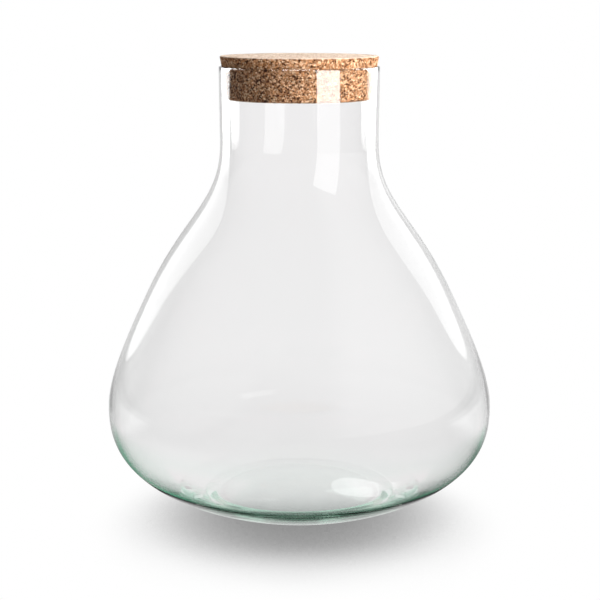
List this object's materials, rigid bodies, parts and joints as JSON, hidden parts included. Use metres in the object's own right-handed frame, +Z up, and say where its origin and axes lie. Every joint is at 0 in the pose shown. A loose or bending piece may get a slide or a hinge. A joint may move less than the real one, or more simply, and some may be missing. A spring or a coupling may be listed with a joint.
{
  "type": "bottle terrarium",
  "caption": "Wide-bellied clear blown-glass bottle with a straight wide neck, closed by a tapered cork bung, for planting a closed garden inside.",
  "frame": {"origin": "middle of the foot ring, on the surface that the bottle stands on", "axes": "+Z up along the axis of the bottle and the cork, which is the way the cork lifts out; X and Y are free because both pieces are round"},
  "size_m": [0.25, 0.25, 0.2925],
  "materials": {
    "glass": "clear fire-polished blown glass with a faint green tint in its thick base",
    "cork": "matt pressed cork of fine bonded granules, sanded flat on top"
  },
  "bodies": {
    "bottle": {"glass_bottle": "glass"},
    "stopper": {"cork_stopper": "cork"}
  },
  "joints": [
    {"name": "cork_lift", "type": "slide", "parent": "bottle", "child": "stopper", "axis": [0, 0, 1], "range_m": [0, 0.06]}
  ]
}
